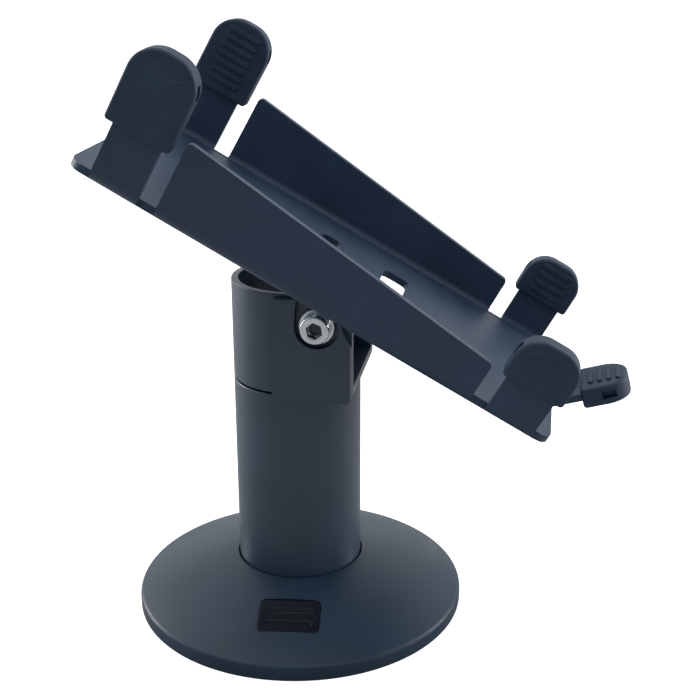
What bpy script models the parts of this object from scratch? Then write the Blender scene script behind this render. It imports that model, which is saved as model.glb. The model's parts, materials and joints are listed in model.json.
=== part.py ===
"""Counter stand for a card payment terminal: weighted base, pole, swivel head and tilting clip-in cradle.

Frame: origin on the pole axis at the underside of the foot pad, +Z up, +X towards the low end of the
cradle, +Y along the tilt axis.  Driving dimensions are in millimetres and are scaled to metres at the end
of each mesh builder.
"""
import bpy
import bmesh
from math import atan2, cos, degrees, pi, radians, sin, tan
from mathutils import Matrix, Vector

MM = 0.001
OBJECT_NAME = "payment_terminal_stand"
FIT_GAP = 0.3                 # clearance between pieces that touch

# foot pad and weighted base
PAD_RADIUS = 56.3
PAD_THICKNESS = 1.5
BASE_RADIUS = 60.0
BASE_LIFT = 0.2               # underside of the rim above the table
RIM_HEIGHT = 6.0
DOME_HEIGHT = 18.4            # top of the dome where the pole enters
SOCKET_FLOOR = 12.0
CABLE_BORE = 8.0

# badge let into the dome
BADGE_BEARING = -84.0         # degrees from +X
BADGE_RADIUS = 40.0           # distance of the badge centre from the pole axis
BADGE_SLOPE = 19.0            # slope of the dome under the badge, degrees
BADGE_HEIGHT = 13.0           # height of the dome at the badge centre
BADGE_WIDTH = 21.0
BADGE_DEPTH = 14.0
BADGE_THICKNESS = 1.0

# pole and its plugs
POLE_RADIUS = 22.5
POLE_WALL = 2.2
POLE_TOP = 88.4
PLUG_RADIUS = POLE_RADIUS - POLE_WALL - FIT_GAP
BOTTOM_PLUG_TOP = 24.3
TOP_PLUG_BOTTOM = 76.4
TOP_PLUG_TOP = 87.9
BASE_SCREW_CIRCLE = 14.0
BASE_SCREW_BEARINGS = (40.0, 160.0, 280.0)

# swivel joint
HEAD_FLOOR_LOW = 89.2
HEAD_FLOOR_TOP = 92.2
STUD_RADIUS = 10.0
STUD_BORE = 6.5
STUD_TOP = 99.2
WASHER_RADIUS = 15.2
STOP_RADIUS = 17.3            # circle of the stop pin
STOP_PIN_RADIUS = 1.5
SWIVEL_LIMIT = 165.0          # degrees each way

# swivel head
HEAD_RADIUS = POLE_RADIUS
LEAF = 2.5                    # thickness of the head wall
HEAD_FRONT = 23.5
HEAD_RIM = 124.6
CHEEK_FACE = 25.3             # outer face of the raised cheeks
CHEEK_LOW = 87.7

# tilt joint
PIVOT_X = 11.8
PIVOT_Z = 114.3
REST_TILT = 29.1              # degrees, low end of the cradle towards +X
PIVOT_HOLE = 3.3
NOTCH_RADIUS = 7.5
EAR_FACE = 18.6               # outer face of the bracket ears
EAR_RADIUS = 8.5

# cradle plate, measured from the pivot: u along the plate, v square to it
SHEET = 2.5
FLOOR_LOW = 11.6
FLOOR_TOP = FLOOR_LOW + SHEET
BEND_RADIUS = 5.0
HALF_WIDTH = 46.0
WALL_LEAN = 3.0               # degrees outwards
FLAP_LINE = 42.6              # where the side flaps leave the flat floor
FLOOR_REAR = -92.8
FLOOR_FRONT = 81.6
FLOOR_CORNER = 6.0
WALL_REAR = (-60.9, 39.9)
WALL_FRONT = (52.6, 27.6)
REAR_FINGER = (-84.0, -67.3)
FRONT_FINGER = (58.4, 75.1)
REAR_FINGER_TOP = 58.0
FRONT_FINGER_TOP = 40.0
REAR_LUG = 52.2               # underside of the lugs on the rear fingers
FRONT_LUG = 34.5
FINGER_CORNER = 2.4
TAB_BEND = 82.4               # where the underside turns up into the end tab
TAB_ANGLE = 45.0
TAB_HALF_WIDTH = 8.4
TAB_LENGTH = 24.9
SLOT_ENDS = ((-15.3, -7.4), (10.7, 20.6))
SLOT_HALF_LENGTH = 23.4
SLOT_CORNER = 2.6
SMALL_HOLE = 1.8              # clearance holes of the bracket screws
BRACKET_SCREWS = [(u, y) for u in (-3.4, 5.0) for y in (-7.0, 7.0)]

# rubber caps
CAP_THICKNESS = 7.1
CAP_BEVEL = 1.2
LONG_CAP = dict(width=22.6, height=27.8, corner=9.8, ribs=7)
SHORT_CAP = dict(width=21.4, height=16.3, corner=8.2, ribs=4)
LONG_CAP_START = 21.9         # open end of the cap above the floor underside, along the flap
SHORT_CAP_START = 15.6
END_CAP_START = 11.2
END_LUG = 7.8                 # window of the end cap above its open end
RIB_PITCH = 3.1
RIB_LENGTH = 12.6
RIB_WIDTH = 1.7
RIB_RISE = 0.7
CAP_FOOT_CORNER = 2.0
LUG_REACH = 1.2               # side lugs on the fingers that lock the caps
LUG_HEIGHT = 2.4


# ------------------------------------------------------------------ scene and object helpers
def clear_scene():
    """Remove whatever the start-up file holds."""
    for item in list(bpy.data.objects):
        bpy.data.objects.remove(item)


def new_collection(name):
    """A collection linked to the scene."""
    group = bpy.data.collections.new(name)
    bpy.context.scene.collection.children.link(group)
    return group


def material(name, colour, roughness, metallic=0.0):
    """A Principled material."""
    made = bpy.data.materials.new(name)
    made.use_nodes = True
    shader = made.node_tree.nodes["Principled BSDF"]
    shader.inputs["Base Color"].default_value = (*colour, 1.0)
    shader.inputs["Roughness"].default_value = roughness
    shader.inputs["Metallic"].default_value = metallic
    return made


def axis_empty(name, place, tilt=0.0):
    """An empty on a joint axis; tilt turns it about +Y."""
    empty = bpy.data.objects.new(name, None)
    empty.empty_display_size = 20 * MM
    empty.matrix_world = Matrix.Translation(Vector(place) * MM) @ Matrix.Rotation(tilt, 4, "Y")
    PARTS.objects.link(empty)
    return empty


def mesh_object(name, points, faces):
    """An object from points in millimetres; faces are turned to look outwards."""
    mesh = bpy.data.meshes.new(name)
    mesh.from_pydata([Vector(p) * MM for p in points], [], faces)
    shell = bmesh.new()
    shell.from_mesh(mesh)
    bmesh.ops.recalc_face_normals(shell, faces=shell.faces)
    shell.to_mesh(mesh)
    shell.free()
    made = bpy.data.objects.new(name, mesh)
    CUTTERS.objects.link(made)
    made.hide_render = True
    made.display_type = "WIRE"
    return made


def finish(piece, look, parent=None):
    """Move a piece from the cutters to the parts and hang it on its joint."""
    CUTTERS.objects.unlink(piece)
    PARTS.objects.link(piece)
    piece.hide_render = False
    piece.display_type = "TEXTURED"
    piece.data.materials.append(look)
    piece.parent = parent
    for modifier in piece.modifiers:
        if modifier.type == "BOOLEAN":
            modifier.object.parent = parent
    return piece


def combine(piece, tool, operation="DIFFERENCE"):
    """Cut, join or intersect a piece with a tool object."""
    step = piece.modifiers.new(tool.name, "BOOLEAN")
    step.object = tool
    step.operation = operation
    step.solver = "EXACT"
    return piece


def bevel(piece, width, segments):
    """Round the sharp edges of a piece."""
    step = piece.modifiers.new("rounded_edges", "BEVEL")
    step.width = width * MM
    step.segments = segments
    step.limit_method = "ANGLE"
    step.angle_limit = radians(50)
    return piece


# ------------------------------------------------------------------ outlines and solids
def arc(centre, radius, start, end, steps):
    """Points on an arc, angles in degrees."""
    turns = [radians(start + (end - start) * i / steps) for i in range(steps + 1)]
    return [(centre[0] + radius * cos(t), centre[1] + radius * sin(t)) for t in turns]


def circle(centre, radius, steps):
    """Points on a full circle."""
    return arc(centre, radius, 0, 360, steps)[:-1]


def rounded(corners, step_angle=15.0):
    """A closed outline from corners (x, y) or (x, y, radius)."""
    outline = []
    count = len(corners)
    for i, corner in enumerate(corners):
        here = Vector(corner[:2])
        if len(corner) == 2:
            outline.append(tuple(here))
            continue
        back = (Vector(corners[i - 1][:2]) - here).normalized()
        ahead = (Vector(corners[(i + 1) % count][:2]) - here).normalized()
        half = back.angle(ahead) / 2
        centre = here + (back + ahead).normalized() * corner[2] / sin(half)
        first = here + back * corner[2] / tan(half) - centre
        last = here + ahead * corner[2] / tan(half) - centre
        start = degrees(atan2(first.y, first.x))
        sweep = (degrees(atan2(last.y, last.x)) - start + 180) % 360 - 180
        steps = max(2, round(abs(sweep) / step_angle))
        outline += arc(tuple(centre), corner[2], start, start + sweep, steps)
    return outline


def prism(name, outline, low, high, along="z"):
    """A solid between two copies of an outline; 'x' takes (y, z), 'y' takes (x, z), 'z' takes (x, y)."""
    place = {"x": lambda a, b, c: (c, a, b), "y": lambda a, b, c: (a, c, b), "z": lambda a, b, c: (a, b, c)}
    count = len(outline)
    points = [place[along](a, b, level) for level in (low, high) for a, b in outline]
    faces = [tuple(range(count)), tuple(range(count, 2 * count))]
    faces += [(i, (i + 1) % count, count + (i + 1) % count, count + i) for i in range(count)]
    return mesh_object(name, points, faces)


def box(name, x_range, y_range, z_range):
    """A rectangular block."""
    (x0, x1), (y0, y1) = x_range, y_range
    outline = [(x0, y0), (x1, y0), (x1, y1), (x0, y1)]
    return prism(name, outline, *z_range)


def turned(name, profile, steps, centre=(0.0, 0.0), along="z"):
    """A solid of revolution from a closed (radius, height) profile."""
    points = []
    rings = []
    for radius, height in profile:
        if radius == 0:
            rings.append([len(points)] * steps)
            points.append((0.0, 0.0, height))
            continue
        rings.append(list(range(len(points), len(points) + steps)))
        points += [(x, y, height) for x, y in circle((0.0, 0.0), radius, steps)]
    faces = []
    for k in range(len(rings)):
        low, high = rings[k], rings[(k + 1) % len(rings)]
        for i in range(steps):
            corners = dict.fromkeys((low[i], low[(i + 1) % steps], high[(i + 1) % steps], high[i]))
            if len(corners) > 2:
                faces.append(tuple(corners))
    if along == "z":
        points = [(x + centre[0], y + centre[1], z) for x, y, z in points]
    else:
        points = [(x + centre[0], z, centre[1] - y) for x, y, z in points]
    return mesh_object(name, points, faces)


def tube_profile(inner, outer, low, high):
    """Profile of a plain ring."""
    return [(inner, low), (outer, low), (outer, high), (inner, high)]


def hexagon(centre, across_flats):
    """Outline of a hexagon with two flats square to the first axis."""
    return arc(centre, across_flats / (2 * cos(pi / 6)), 30, 330, 5)


# ------------------------------------------------------------------ base
def dome_profile():
    """Outline of the base from the rim underside over the dome to the pole socket."""
    shoulder = arc((BASE_RADIUS - 2.0, RIM_HEIGHT - 2.0), 2.0, 0, 62, 4)
    start = Vector(shoulder[-1])
    end = Vector((POLE_RADIUS + 0.4, DOME_HEIGHT))
    chord = end - start
    bulge = Vector((-chord.y, chord.x)).normalized() * -1.2
    dome = [start + chord * t + bulge * 4 * t * (1 - t) for t in (0.14, 0.3, 0.48, 0.66, 0.84)]
    return shoulder + [tuple(p) for p in dome] + [tuple(end)]


def base_badge_frame():
    """Matrix from badge coordinates to the frame: x across, y down the slope, z off the surface."""
    bearing = Matrix.Rotation(radians(BADGE_BEARING) + pi / 2, 4, "Z")
    slope = Matrix.Rotation(radians(BADGE_SLOPE), 4, "X")
    return bearing @ Matrix.Translation((0, -BADGE_RADIUS * MM, BADGE_HEIGHT * MM)) @ slope


def badge_outline(margin):
    """Rounded rectangle of the badge, grown by a margin."""
    half_x, half_y = BADGE_WIDTH / 2 + margin, BADGE_DEPTH / 2 + margin
    corners = ((-1, -1), (1, -1), (1, 1), (-1, 1))
    return rounded([(x * half_x, y * half_y, 2.0 + margin) for x, y in corners])


def base_screw_places():
    """Where the three screws between base and pole stand."""
    return [arc((0, 0), BASE_SCREW_CIRCLE, bearing, bearing, 1)[0] for bearing in BASE_SCREW_BEARINGS]


def make_base():
    """Foot pad, domed base plate, badge and the screws that hold the pole."""
    pad = turned("foot_pad", [(0, 0), (PAD_RADIUS, 0), (PAD_RADIUS, PAD_THICKNESS), (0, PAD_THICKNESS)], 72)
    finish(pad, RUBBER)
    under = PAD_THICKNESS + FIT_GAP
    profile = [(CABLE_BORE, under), (PAD_RADIUS + FIT_GAP, under), (PAD_RADIUS + FIT_GAP, BASE_LIFT)]
    profile += [(BASE_RADIUS - 0.6, BASE_LIFT), (BASE_RADIUS, BASE_LIFT + 0.6)] + dome_profile()
    profile += [(POLE_RADIUS + 0.4, SOCKET_FLOOR), (CABLE_BORE, SOCKET_FLOOR)]
    base = turned("base_plate", profile, 96)
    for index, (x, y) in enumerate(base_screw_places()):
        pocket = [(0, 0), (4.8, 0), (4.8, 7.4), (2.8, 7.4), (2.8, 15), (0, 15)]
        combine(base, turned(f"screw_pocket_{index + 1}", pocket, 24, (x, y)))
        head = [(0, 4.9), (1.5, 4.9), (1.5, 2.1), (4.25, 2.1), (4.25, 7.1)]
        screw = head + [(2.5, 7.1), (2.5, 22.0), (0, 22.0)]
        finish(turned(f"base_screw_{index + 1}", screw, 24, (x, y)), STEEL)
    recess = prism("badge_recess", badge_outline(FIT_GAP), -BADGE_THICKNESS - 0.2, 6)
    badge = prism("base_badge", badge_outline(0), -BADGE_THICKNESS + 0.1, 0.1)
    for low, high in ((-3.9, -1.7), (0.6, 1.6), (2.6, 3.6)):
        stripe = rounded([(-8, low), (8, low), (8, high), (-8, high)])
        combine(badge, prism("badge_stripe", stripe, -0.35, 2))
    for piece in [recess, badge] + [m.object for m in badge.modifiers]:
        piece.data.transform(base_badge_frame())
    combine(base, recess)
    finish(base, SATIN)
    finish(badge, GLOSS)


# ------------------------------------------------------------------ pole and swivel
def make_pole():
    """Pole tube with its bottom and top plugs."""
    inner = POLE_RADIUS - POLE_WALL
    low, high = SOCKET_FLOOR + FIT_GAP, POLE_TOP
    edge = [(POLE_RADIUS, high - 0.4), (POLE_RADIUS - 0.4, high)]
    profile = [(inner, low), (POLE_RADIUS, low)] + edge + [(inner, high)]
    finish(turned("pole_tube", profile, 96), SATIN)
    plug = turned("pole_bottom_plug", tube_profile(CABLE_BORE, PLUG_RADIUS, low, BOTTOM_PLUG_TOP), 64)
    for x, y in base_screw_places():
        combine(plug, turned("screw_hole", [(0, 5), (2.8, 5), (2.8, 30), (0, 30)], 24, (x, y)))
    finish(plug, ZINC)
    profile = tube_profile(STUD_RADIUS + FIT_GAP, PLUG_RADIUS, TOP_PLUG_BOTTOM, TOP_PLUG_TOP)
    plug = turned("pole_top_plug", profile, 64)
    hole = [(0, 80.1), (STOP_PIN_RADIUS + FIT_GAP, 80.1), (STOP_PIN_RADIUS + FIT_GAP, 95), (0, 95)]
    combine(plug, turned("pin_hole", hole, 16, (-STOP_RADIUS, 0)))
    finish(plug, ZINC)
    pin = [(0, 80.4), (STOP_PIN_RADIUS, 80.4), (STOP_PIN_RADIUS, 90.4), (0, 90.4)]
    finish(turned("swivel_stop_pin", pin, 16, (-STOP_RADIUS, 0)), STEEL)


def make_swivel():
    """Hollow stud, thrust washer, friction ring and ring nut."""
    seat = TOP_PLUG_BOTTOM - FIT_GAP
    stud = [(STUD_BORE, seat - 3), (14.0, seat - 3), (14.0, seat), (STUD_RADIUS, seat)]
    stud += [(STUD_RADIUS, STUD_TOP - 0.6), (STUD_RADIUS - 0.6, STUD_TOP), (STUD_BORE, STUD_TOP)]
    finish(turned("swivel_stud", stud, 48), ZINC)
    inner = STUD_RADIUS + FIT_GAP
    thrust = tube_profile(inner, WASHER_RADIUS, TOP_PLUG_TOP + FIT_GAP, HEAD_FLOOR_LOW - FIT_GAP)
    finish(turned("swivel_thrust_washer", thrust, 48), NYLON)
    ring = tube_profile(inner, WASHER_RADIUS, HEAD_FLOOR_TOP + FIT_GAP, HEAD_FLOOR_TOP + 1.5)
    finish(turned("swivel_friction_ring", ring, 48), NYLON)
    nut_low = HEAD_FLOOR_TOP + 1.8
    nut = turned("swivel_ring_nut", tube_profile(inner, 14.8, nut_low, nut_low + 4.5), 48)
    for index in range(4):
        slot = box(f"nut_slot_{index + 1}", (13.2, 20), (-1.6, 1.6), (nut_low - 1, nut_low + 6))
        slot.data.transform(Matrix.Rotation(index * pi / 2 + pi / 4, 4, "Z"))
        combine(nut, slot)
    finish(nut, ZINC)


# ------------------------------------------------------------------ swivel head
def head_outline(radius, front):
    """Half round at the back, straight sides to the front."""
    return arc((0, 0), radius, 90, 270, 40) + [(front, -radius), (front, radius)]


def cheek_outline():
    """Raised cheek around the pivot screw, seen along the tilt axis, with its open-topped notch."""
    notch = arc((PIVOT_X, PIVOT_Z), NOTCH_RADIUS, 180, 360, 16)
    left, right = notch[0][0], notch[-1][0]
    back = [(left, 123.4, 3.4), (-3.4, 123.4, 1.0), (-3.4, 89.2)]
    lower = back + [(-1.8, CHEEK_LOW), (23.3, CHEEK_LOW, 2.2)]
    upper = [(23.3, 107.6, 2.0), (right, 115.6, 0.5)]
    return rounded(lower + upper) + notch[::-1]


def stop_groove():
    """Arc groove for the stop pin; the land left at the front sets the swivel limits."""
    reach = SWIVEL_LIMIT + degrees((STOP_PIN_RADIUS + FIT_GAP + 0.1) / STOP_RADIUS)
    outer = arc((0, 0), STOP_RADIUS + STOP_PIN_RADIUS + FIT_GAP, 180 - reach, 180 + reach, 60)
    inner = arc((0, 0), STOP_RADIUS - STOP_PIN_RADIUS - FIT_GAP, 180 + reach, 180 - reach, 60)
    return prism("stop_groove", outer + inner, HEAD_FLOOR_LOW - 2, 90.8)


def make_head():
    """Swivel head: floor, half-round back, side leaves and raised cheeks in one piece."""
    head = prism("swivel_head", head_outline(HEAD_RADIUS, 30), HEAD_FLOOR_LOW, HEAD_RIM + 5)
    front = [(HEAD_FRONT, 80), (HEAD_FRONT, 113.6, 3.0), (8.5, HEAD_RIM, 9.0)]
    side = rounded([(-30, 80)] + front + [(-30, HEAD_RIM)])
    combine(head, prism("head_side_view", side, -40, 40, "y"), "INTERSECT")
    combine(head, prism("head_inside", head_outline(HEAD_RADIUS - LEAF, 40), HEAD_FLOOR_TOP, HEAD_RIM + 9))
    root = HEAD_RADIUS - 0.5
    for side_name, low, high in (("near", -CHEEK_FACE, -root), ("far", root, CHEEK_FACE)):
        combine(head, prism(f"cheek_{side_name}", cheek_outline(), low, high, "y"), "UNION")
    combine(head, turned("pole_clearance", [(0, 70), (22.9, 70), (22.9, 88.9), (0, 88.9)], 96))
    bore = [(0, -40), (PIVOT_HOLE, -40), (PIVOT_HOLE, 40), (0, 40)]
    combine(head, turned("pivot_bore", bore, 32, (PIVOT_X, PIVOT_Z), "y"))
    bore = [(0, 80), (STUD_RADIUS + FIT_GAP, 80), (STUD_RADIUS + FIT_GAP, 99), (0, 99)]
    combine(head, turned("stud_bore", bore, 48))
    combine(head, stop_groove())
    finish(head, SATIN, SWIVEL_AXIS)


def make_pivot_hardware():
    """Washers on the head side and screws with clinch nuts on the cradle side, one set per ear."""
    for side_name, side in (("near", -1), ("far", 1)):
        washer = tube_profile(PIVOT_HOLE, 6.1, side * 22.8, side * 24.4)
        washer = turned(f"pivot_washer_{side_name}", washer, 40, (PIVOT_X, PIVOT_Z), "y")
        finish(washer, STAINLESS, SWIVEL_AXIS)
        ring = tube_profile(PIVOT_HOLE, 8.0, side * 18.9, side * 19.7)
        ring = turned(f"tilt_friction_washer_{side_name}", ring, 40, (PIVOT_X, PIVOT_Z), "y")
        finish(ring, NYLON, SWIVEL_AXIS)
        profile = [(0, 28.7), (4.5, 28.7), (5.0, 28.2), (5.0, 24.7), (3.0, 24.7), (3.0, 11.2), (0, 11.2)]
        screw = turned(f"pivot_screw_{side_name}", [(r, side * z) for r, z in profile], 40, along="y")
        socket = arc((0, 0), 2.5 / cos(pi / 6), 8, 308, 5)
        combine(screw, prism(f"socket_{side_name}", socket, side * 26.0, side * 30.0, "y"))
        finish(screw, STAINLESS, TILT_AXIS)
        nut = prism(f"pivot_nut_{side_name}", hexagon((0, 0), 10.0), side * 10.8, side * 15.8, "y")
        bore = [(0, 0), (PIVOT_HOLE, 0), (PIVOT_HOLE, side * 30), (0, side * 30)]
        combine(nut, turned(f"nut_bore_{side_name}", bore, 32, along="y"))
        finish(nut, ZINC, TILT_AXIS)


# ------------------------------------------------------------------ cradle
def make_bracket():
    """Folded channel under the cradle floor whose two ears carry the pivot."""
    inner, top = EAR_FACE - SHEET, FLOOR_LOW - FIT_GAP
    roof = top - SHEET
    inside = [(-inner, -20), (-inner, roof, 1.0), (inner, roof, 1.0), (inner, -20)]
    outside = [(EAR_FACE, -20), (EAR_FACE, top, 3.5), (-EAR_FACE, top, 3.5)]
    section = [(-EAR_FACE, -20)] + inside + outside
    bracket = prism("tilt_bracket", rounded(section), -15, 15, "x")
    ear = arc((0, 0), EAR_RADIUS, 180, 360, 24) + [(EAR_RADIUS, 30), (-EAR_RADIUS, 30)]
    combine(bracket, prism("ear_side_view", ear, -30, 30, "y"), "INTERSECT")
    bore = [(0, -30), (PIVOT_HOLE, -30), (PIVOT_HOLE, 30), (0, 30)]
    combine(bracket, turned("ear_bore", bore, 32, along="y"))
    for index, place in enumerate(BRACKET_SCREWS):
        hole = [(0, 0), (SMALL_HOLE, 0), (SMALL_HOLE, 20), (0, 20)]
        combine(bracket, turned(f"bracket_hole_{index + 1}", hole, 20, place))
    finish(bracket, SATIN, TILT_AXIS)


def make_bracket_screws():
    """Countersunk screws and nuts that hold the bracket to the cradle floor."""
    top = FLOOR_TOP - 0.1
    nut_top = FLOOR_LOW - FIT_GAP - SHEET - FIT_GAP
    for index, place in enumerate(BRACKET_SCREWS):
        shank = [(0, nut_top - 3.4), (1.5, nut_top - 3.4), (1.5, top - 1.5)]
        profile = shank + [(3.0, top), (1.1, top), (1.1, top - 1.1), (0, top - 1.1)]
        finish(turned(f"bracket_screw_{index + 1}", profile, 20, place), STAINLESS, TILT_AXIS)
        nut = prism(f"bracket_nut_{index + 1}", hexagon(place, 5.5), nut_top - 2.4, nut_top)
        hole = [(0, 0), (SMALL_HOLE, 0), (SMALL_HOLE, 20), (0, 20)]
        combine(nut, turned(f"small_nut_bore_{index + 1}", hole, 20, place))
        finish(nut, ZINC, TILT_AXIS)


def finger(ends, top, lug_low):
    """One finger of the side outline, read from its front edge over the top to its rear edge."""
    rear, front = ends
    lug_high = lug_low + LUG_HEIGHT
    front_edge = [(front, 0), (front, lug_low)]
    front_edge += [(front + LUG_REACH, lug_low), (front + LUG_REACH, lug_high)]
    rear_edge = [(rear - LUG_REACH, lug_high), (rear - LUG_REACH, lug_low), (rear, lug_low), (rear, 0)]
    tip = [(front, lug_high), (front, top, FINGER_CORNER), (rear, top, FINGER_CORNER), (rear, lug_high)]
    return front_edge + tip + rear_edge


def flap_waste():
    """What is cut away from each side flap: all round the fingers and the tapered wall between."""
    wall = [(WALL_FRONT[0], 0), (*WALL_FRONT, 1.6), (*WALL_REAR, 1.6), (WALL_REAR[0], 0)]
    front = finger(FRONT_FINGER, FRONT_FINGER_TOP, FRONT_LUG)
    rear = finger(REAR_FINGER, REAR_FINGER_TOP, REAR_LUG)
    return rounded([(-110, 0), (-110, 90), (110, 90), (110, 0)] + front + wall + rear)


def plate_section():
    """Cross-section of the folded plate: floor, bends and leaning side flaps."""
    rise = 52.0
    lean = radians(WALL_LEAN)
    wall = SHEET / cos(lean)
    foot = HALF_WIDTH + SHEET * tan(lean) - wall
    head = HALF_WIDTH + rise * tan(lean)
    tip = FLOOR_LOW + rise
    right = [(HALF_WIDTH, FLOOR_LOW, BEND_RADIUS), (head, tip), (head - wall, tip)]
    right += [(foot, FLOOR_TOP, BEND_RADIUS - SHEET)]
    left = [(-corner[0], *corner[1:]) for corner in reversed(right)]
    return rounded(right + left, 11.25)


def tab_strip():
    """Side view of the end tab, bent up from the floor."""
    turn = radians(TAB_ANGLE)
    along, off = Vector((cos(turn), sin(turn))), Vector((-sin(turn), cos(turn)))
    tip = Vector((TAB_BEND, FLOOR_LOW)) + along * TAB_LENGTH
    inner = (TAB_BEND - SHEET * tan(turn / 2), FLOOR_TOP, BEND_RADIUS - SHEET)
    corners = [(75, FLOOR_LOW), (TAB_BEND, FLOOR_LOW, BEND_RADIUS)]
    corners += [tuple(tip), tuple(tip + off * SHEET), inner]
    return prism("end_tab", rounded(corners + [(75, FLOOR_TOP)]), -TAB_HALF_WIDTH, TAB_HALF_WIDTH, "y")


def corner_waste(corner, inwards, radius):
    """Outline of what lies outside one rounded corner; 'inwards' gives the signs towards the material."""
    centre = [corner[k] + inwards[k] * radius for k in (0, 1)]
    quarter = arc((0, 0), radius, 0, 90, 6)
    curve = [(centre[0] - inwards[0] * x, centre[1] - inwards[1] * y) for x, y in quarter]
    beyond = [corner[k] - inwards[k] * 9 for k in (0, 1)]
    return curve + [(centre[0], beyond[1]), tuple(beyond), (beyond[0], centre[1])]


def make_cradle_plate():
    """The folded cradle plate with its walls, fingers, end tab, slots and screw holes."""
    plate = prism("cradle_plate", plate_section(), FLOOR_REAR, FLOOR_FRONT, "x")
    for side_name, low, high in (("near", -70, -FLAP_LINE), ("far", FLAP_LINE, 70)):
        combine(plate, prism(f"flap_waste_{side_name}", flap_waste(), low, high, "y"))
    for end_name, end in (("rear", FLOOR_REAR), ("front", FLOOR_FRONT)):
        for side_name, side in (("near", -1), ("far", 1)):
            waste = corner_waste((end, side * FLAP_LINE), (-1 if end > 0 else 1, -side), FLOOR_CORNER)
            combine(plate, prism(f"corner_{end_name}_{side_name}", waste, 0, 30))
    for index, (rear, front) in enumerate(SLOT_ENDS):
        corners = [(rear, -1), (front, -1), (front, 1), (rear, 1)]
        slot = rounded([(u, side * SLOT_HALF_LENGTH, SLOT_CORNER) for u, side in corners])
        combine(plate, prism(f"floor_slot_{index + 1}", slot, 0, 30))
    for index, place in enumerate(BRACKET_SCREWS):
        cone = [(SMALL_HOLE, FLOOR_TOP - 1.6), (5.4, FLOOR_TOP + 2.0)]
        hole = [(0, 5), (SMALL_HOLE, 5)] + cone + [(0, FLOOR_TOP + 2.0)]
        combine(plate, turned(f"floor_hole_{index + 1}", hole, 20, place))
    combine(plate, box("tab_relief", (77.6, 95), (-TAB_HALF_WIDTH - 1.4, TAB_HALF_WIDTH + 1.4), (5, 25)))
    combine(plate, tab_strip(), "UNION")
    for side_name, side in (("near", -1), ("far", 1)):
        waste = corner_waste((side * TAB_HALF_WIDTH, TAB_LENGTH), (-side, -1), 3.0)
        tool = prism(f"tab_corner_{side_name}", waste, -9, 9, "y")
        tool.data.transform(tab_frame(0.0))
        combine(plate, tool)
    finish(plate, POWDER, TILT_AXIS)


# ------------------------------------------------------------------ rubber caps
def rib_bars(height, count):
    """Raised bars on the gripping face, as one tool with a closed shell per bar."""
    points, faces = [], []
    middle = height / 2 + 0.3
    for index in range(count):
        level = middle + (index - (count - 1) / 2) * RIB_PITCH
        half, end = RIB_WIDTH / 2, RIB_LENGTH / 2 - RIB_WIDTH / 2
        outline = arc((end, level), half, -90, 90, 4) + arc((-end, level), half, 90, 270, 4)
        first, size = len(points), len(outline)
        face = CAP_THICKNESS / 2
        points += [(x, y, z) for y in (face - 0.5, face + RIB_RISE) for x, z in outline]
        faces += [tuple(range(first, first + size)), tuple(range(first + size, first + 2 * size))]
        for i in range(size):
            j = (i + 1) % size
            faces.append((first + i, first + j, first + size + j, first + size + i))
    return mesh_object("ribs", points, faces)


def make_cap(name, kind, finger_half, finger_top, lug, frame):
    """A rubber cap: x across the finger, y towards the gripping face, z up from the cap's open end."""
    half, height, corner = kind["width"] / 2, kind["height"], kind["corner"]
    foot = CAP_FOOT_CORNER
    corners = [(-half, 0, foot), (half, 0, foot), (half, height, corner), (-half, height, corner)]
    cap = prism(name, rounded(corners), -CAP_THICKNESS / 2, CAP_THICKNESS / 2, "y")
    bevel(cap, CAP_BEVEL, 2)
    wide, top = finger_half + FIT_GAP, finger_top + FIT_GAP
    room = SHEET / 2 + FIT_GAP
    round_top = FINGER_CORNER + 0.2
    pocket = rounded([(-wide, -5), (wide, -5), (wide, top, round_top), (-wide, top, round_top)])
    tools = [(prism("pocket", pocket, -room, room, "y"), "DIFFERENCE")]
    for side in (-1, 1):
        across = sorted((side * (wide - 1), side * 20))
        window = box("window", across, (0.15 - room, room - 0.15), (lug - 0.9, lug + 3.9))
        tools.append((window, "DIFFERENCE"))
    tools.append((rib_bars(height, kind["ribs"]), "UNION"))
    cap.data.transform(frame)
    for tool, operation in tools:
        tool.data.transform(frame)
        combine(cap, tool, operation)
    finish(cap, RUBBER, TILT_AXIS)


def finger_frame(ends, side, start):
    """Frame of a cap on a side finger, 'start' above the floor underside along the leaning flap."""
    lean = radians(WALL_LEAN)
    up = Vector((0, side * sin(lean), cos(lean)))
    inwards = Vector((0, -side * cos(lean), sin(lean)))
    across = inwards.cross(up)
    corner = Vector(((ends[0] + ends[1]) / 2, side * HALF_WIDTH, FLOOR_LOW))
    place = corner + up * start + inwards * SHEET / 2
    return frame_matrix(across, inwards, up, place)


def tab_frame(start):
    """Frame of the cap on the end tab."""
    turn = radians(TAB_ANGLE)
    up = Vector((cos(turn), 0, sin(turn)))
    inwards = Vector((-sin(turn), 0, cos(turn)))
    place = Vector((TAB_BEND, 0, FLOOR_LOW)) + up * start + inwards * SHEET / 2
    return frame_matrix(inwards.cross(up), inwards, up, place)


def frame_matrix(across, inwards, up, place):
    """Matrix with the given axes, placed at a point in millimetres."""
    matrix = Matrix((across, inwards, up)).transposed().to_4x4()
    matrix.translation = place * MM
    return matrix


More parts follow.
